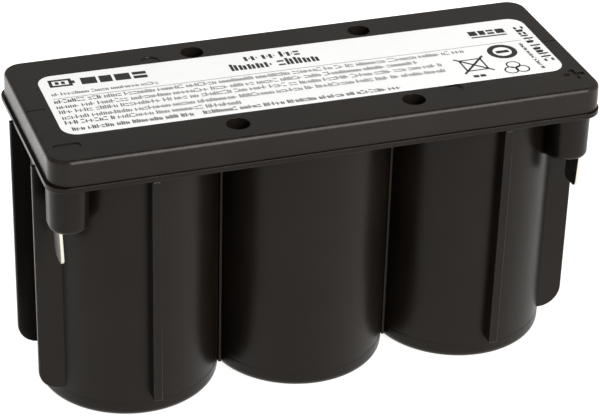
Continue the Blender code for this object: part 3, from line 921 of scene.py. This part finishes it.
def word_marks(bm, rng, line, first, last, height, stroke):
    """Word-sized groups of ticks and bars between two places on a line. They spell nothing."""
    letter = height * 0.50
    gap = height * 0.12
    place = first
    while place < last - letter:
        count = rng.randint(2, 9)
        for _ in range(count):
            if place > last - letter:
                break
            top = height if rng.random() < 0.28 else height * 0.76
            kind = rng.random()
            if kind < 0.5:
                line.box(bm, place, place + stroke, 0.0, top)
                line.box(bm, place + letter - stroke, place + letter, 0.0, top * 0.85)
            elif kind < 0.7:
                line.box(bm, place, place + letter, 0.0, stroke)
                line.box(bm, place, place + letter, top - stroke, top)
            else:
                line.box(bm, place, place + stroke, 0.0, top)
                line.box(bm, place + stroke * 1.6, place + letter, top * 0.35, top * 0.35 + stroke)
            place += letter + gap
        place += height * 0.34


def print_rows(bm_thin, bm_bold):
    """The label's lines of print. Each row may start with a bold part of the given length."""
    rng = random.Random(7)
    for start, end, bold in (
        ((-60.5, 2.0), (43.5, 0.5), 11.5),
        ((-60.6, -0.8), (30.4, -2.1), 0.0),
        ((-60.6, -3.4), (35.2, -5.0), 0.0),
        ((-60.6, -6.3), (35.1, -8.1), 0.0),
        ((-60.6, -8.8), (-16.9, -10.2), 12.0),
    ):
        line = Line(start, end)
        thin_start = 0.0
        if bold:
            word_marks(bm_bold, rng, line, 0.0, bold, ROW_HEIGHT, BOLD_STROKE)
            thin_start = bold + 0.6
        word_marks(bm_thin, rng, line, thin_start, line.length, ROW_HEIGHT, THIN_STROKE)
    foot = Line((-59.7, -12.2), (22.5, -13.5))
    word_marks(bm_bold, rng, foot, 0.0, 29.5, FOOT_HEIGHT, BOLD_STROKE)
    word_marks(bm_bold, rng, foot, 31.5, foot.length, FOOT_HEIGHT, BOLD_STROKE)
    for bm, start, end, height, stroke in (
        (bm_bold, (-60.2, 5.9), (-33.7, 5.3), 1.4, 0.26),
        (bm_bold, (-10.5, 11.0), (4.7, 10.8), 2.9, 0.76),
        (bm_bold, (-15.2, 6.7), (9.1, 6.2), 3.5, 0.76),
        (bm_bold, (60.6, 10.4), (60.9, -11.0), 2.6, 0.70),
        (bm_thin, (58.3, 1.6), (58.5, -13.7), 1.0, 0.22),
    ):
        line = Line(start, end)
        word_marks(bm, rng, line, 0.0, line.length, height, stroke)
    rule = Line((-60.4, 4.3), (59.8, 3.1))
    rule.box(bm_thin, 0.0, rule.length, -0.07, 0.07)


def print_marks(bm_thin, bm_bold):
    """Plain pictograms: a cell with bars, a ring, a crossed square and linked rings."""
    head = Line((-59.6, 10.3), (-35.6, 9.4))
    for left, right, low, high in (
        (0.0, 5.6, 0.0, 0.8), (0.0, 5.6, 3.0, 3.8), (0.0, 0.8, 0.8, 3.0), (4.8, 5.6, 0.8, 3.0),
        (5.6, 6.3, 1.2, 2.6), (1.5, 2.4, 1.2, 2.6), (3.0, 3.9, 1.2, 2.6),
        (7.8, 11.6, 0.0, 3.4), (12.3, 15.4, 0.0, 3.4), (16.1, 19.9, 0.0, 3.4),
        (20.6, 24.0, 0.0, 1.4), (20.6, 24.0, 2.0, 3.4),
    ):
        head.box(bm_bold, left, right, low, high)
    corner = Line((48.2, 8.6), (58.0, 8.3))
    for left, right, low, high in (
        (0.0, 2.2, 0.0, 2.4), (2.7, 4.4, 0.0, 2.4), (4.9, 6.8, 0.0, 1.0), (4.9, 6.8, 1.5, 2.4),
        (7.3, 9.6, 0.0, 2.4), (0.0, 9.6, -1.3, -0.7),
    ):
        corner.box(bm_bold, left, right, low, high)
    add_ring(bm_bold, circle(3.8, (52.6, -1.6), 48), circle(2.4, (52.6, -1.6), 48))
    Line((50.9, -2.3), (54.3, -2.35)).box(bm_bold, 0.0, 3.4, 0.0, 1.3)
    for centre in arc((52.3, -10.8), 1.7, 90, 330, 2):
        add_ring(bm_bold, circle(1.85, centre, 32), circle(1.45, centre, 32))
    add_ring(
        bm_thin,
        box_outline((39.9, -9.6), (45.9, -3.4)),
        box_outline((40.35, -9.15), (45.45, -3.85)),
    )
    for start, end in (((39.0, -10.6), (46.8, -2.4)), ((39.0, -2.6), (46.8, -10.4))):
        line = Line(start, end)
        line.box(bm_bold, 0.0, line.length, -0.3, 0.3)
    line = Line((40.4, -13.0), (43.6, -13.05))
    line.box(bm_bold, 0.0, 1.4, 0.0, 1.2)
    line.box(bm_bold, 1.8, 3.2, 0.0, 1.2)


def make_print(thin_ink, bold_ink):
    bm_thin = bmesh.new()
    bm_bold = bmesh.new()
    print_rows(bm_thin, bm_bold)
    print_marks(bm_thin, bm_bold)
    for name, bm, ink in (("print_thin", bm_thin, thin_ink), ("print_bold", bm_bold, bold_ink)):
        bmesh.ops.recalc_face_normals(bm, faces=bm.faces)
        piece = make_object(name, bm)
        piece.data.materials.append(ink)
        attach(piece, BODY)


# Blades


def make_blade(name, node, side, material):
    """A tinned tab with its jog, riser and the flat lead to the post."""

    def tab(inset):
        chamfer = TAB_CHAMFER - 0.4 * inset
        front = TAB_FRONT + inset
        back = TAB_BACK - inset
        tip = TAB_TIP + inset
        return [
            (front, JOG_TOP),
            (front, tip + chamfer),
            (front + 0.35 * chamfer, tip + 0.30 * chamfer),
            (front + chamfer, tip),
            (back - chamfer, tip),
            (back - 0.35 * chamfer, tip + 0.30 * chamfer),
            (back, tip + chamfer),
            (back, JOG_TOP),
        ]

    ends = mirrored(side, TAB_OUTER - TAB_THICKNESS, TAB_OUTER)
    blade = make_object(name, soft_prism(tab, *ends, TAB_EDGE, TAB_EDGE, axis="x", steps=3))
    for vert in blade.data.vertices:
        drop = (JOG_TOP - vert.co.z / MM) / (JOG_TOP - TAB_TIP)
        vert.co.x -= side * TAB_LEAN * drop * MM
    solids = [prism(*block) for block in blade_boxes(side, 0.0)[1:]]
    points = [(RISER_OUTER, RISER_FRONT), (RISER_OUTER, TAB_BACK)]
    points.append((POST_PLACE + LEAD_HALF, TAB_BACK))
    points += arc((POST_PLACE, 0.0), POST_PAD, -50, 230, 24)
    points.append((POST_PLACE - LEAD_HALF, RISER_FRONT))
    lead = [(side * x, y) for x, y in points]
    solids.append(prism(lead, LEAD_LOW, LEAD_LOW + TAB_THICKNESS))
    boolean(blade, "UNION", solids)
    finish_piece(blade, material, [node])


def make_pieces():
    # The lid's base colour is about twice the case's. This is painted light that makes the lid's
    # skirt brighter than the wells below it.
    case_look = black_plastic(
        "case_plastic", (0.0042, 0.0028, 0.0018), 0.31, drag=(1.6, 1.6, 0.12), grain=0.004
    )
    lid_look = black_plastic(
        "lid_plastic", (0.0084, 0.0064, 0.0050), 0.27, drag=(0.25, 1.2, 1.2), grain=0.0016
    )
    make_case(case_look)
    make_lid(lid_look)
    make_label(label_film("label_film"))
    make_print(
        print_ink("ink_thin", (0.010, 0.010, 0.010), (0.035, 0.035, 0.035)),
        print_ink("ink_bold", (0.010, 0.010, 0.010), (0.025, 0.025, 0.025)),
    )
    metal = tinned_brass("tinned_brass")
    make_blade("negative_blade", "negative_terminal", -1, metal)
    make_blade("positive_blade", "positive_terminal", 1, metal)


def dress_inner_nodes():
    """Materials for the CAD nodes that stay, by the slot each one has."""
    looks = {
        "seal_adhesive": plain_polymer(
            "seal_adhesive", (0.030, 0.030, 0.031), (0.050, 0.049, 0.047), 0.55, 6.0, 0.9, 0.06
        ),
        "cast_lead": cast_lead("cast_lead"),
        "lead_dioxide": plate_paste(
            "lead_dioxide", (0.075, 0.040, 0.026), (0.13, 0.075, 0.05), 0.0, (0.22, 0.22, 0.23)
        ),
        "sponge_lead": plate_paste(
            "sponge_lead", (0.20, 0.205, 0.21), (0.30, 0.31, 0.32), 0.3, (0.42, 0.43, 0.45)
        ),
        "glass_mat": glass_mat("glass_mat"),
        "cover_plastic": plain_polymer(
            "cover_plastic", (0.23, 0.23, 0.235), (0.29, 0.29, 0.29), 0.45, 12.0, 0.5, 0.01
        ),
        "valve_rubber": plain_polymer(
            "valve_rubber", (0.035, 0.032, 0.030), (0.055, 0.050, 0.047), 0.68, 5.0, 0.35, 0.02
        ),
        "potting_epoxy": plain_polymer(
            "potting_epoxy", (0.28, 0.030, 0.022), (0.36, 0.050, 0.035), 0.24, 4.0, 1.6, 0.03
        ),
    }
    slots = {row["node"]: row["material_slot"] for row in frame["record"]["subparts"]}
    for name, node in frame["nodes"].items():
        look = looks.get(slots.get(name))
        if look is None:
            continue
        if not node.material_slots:
            node.data.materials.append(look)
        for material_slot in node.material_slots:
            material_slot.material = look


# Stage


def make_floor():
    bm = bmesh.new()
    bmesh.ops.create_grid(bm, x_segments=8, y_segments=8, size=FLOOR_HALF)
    floor = make_object("floor", bm)
    floor.location.z = -FLOOR_DROP * MM
    floor.data.materials.append(floor_surface("floor_surface"))


def add_softbox():
    """A tall area light in front of the block and to its right, facing straight back."""
    light = bpy.data.lights.new("front", "AREA")
    light.shape = "RECTANGLE"
    light.size, light.size_y = SOFTBOX_SIZE
    light.energy = SOFTBOX_RADIANCE * math.pi * SOFTBOX_SIZE[0] * SOFTBOX_SIZE[1]
    obj = bpy.data.objects.new("front", light)
    bpy.context.scene.collection.objects.link(obj)
    obj.location = SOFTBOX_PLACE
    direction = Vector((SOFTBOX_PLACE[0], 0.0, 0.0)) - Vector(SOFTBOX_PLACE)
    obj.rotation_euler = direction.to_track_quat("-Z", "Y").to_euler()


def make_sky():
    """An even sky that falls off overhead."""
    world = bpy.data.worlds.new("studio")
    bpy.context.scene.world = world
    world.use_nodes = True
    tree = world.node_tree
    place = tree.nodes.new("ShaderNodeTexCoord")
    split = tree.nodes.new("ShaderNodeSeparateXYZ")
    tree.links.new(place.outputs["Generated"], split.inputs["Vector"])
    fall = tree.nodes.new("ShaderNodeMapRange")
    tree.links.new(split.outputs["Z"], fall.inputs["Value"])
    for name, number in zip(RANGE_SOCKETS, (*SKY_HEIGHTS, *SKY_RADIANCE)):
        fall.inputs[name].default_value = number
    background = tree.nodes["Background"]
    background.inputs["Color"].default_value = LIGHT_TINT
    tree.links.new(fall.outputs["Result"], background.inputs["Strength"])


def make_camera():
    place = Vector(CAMERA_PLACE) * MM
    target = Vector(CAMERA_TARGET) * MM
    roll = math.radians(CAMERA_ROLL)
    ahead = (target - place).normalized()
    level = ahead.cross(Vector((0.0, 0.0, 1.0))).normalized()
    above = level.cross(ahead)
    right = level * math.cos(roll) + above * math.sin(roll)
    up = above * math.cos(roll) - level * math.sin(roll)
    camera = bpy.data.cameras.new("camera")
    camera.sensor_width = 36.0
    camera.lens = CAMERA_LENS
    camera.clip_start = 0.01
    camera.clip_end = 20.0
    obj = bpy.data.objects.new("camera", camera)
    turn = Matrix((right, up, -ahead)).transposed().to_4x4()
    obj.matrix_world = Matrix.Translation(place) @ turn
    bpy.context.scene.collection.objects.link(obj)
    bpy.context.scene.camera = obj


make_camera()
make_sky()
add_softbox()
make_floor()
make_pieces()
dress_inner_nodes()
bpy.context.scene.view_settings.view_transform = "Standard"
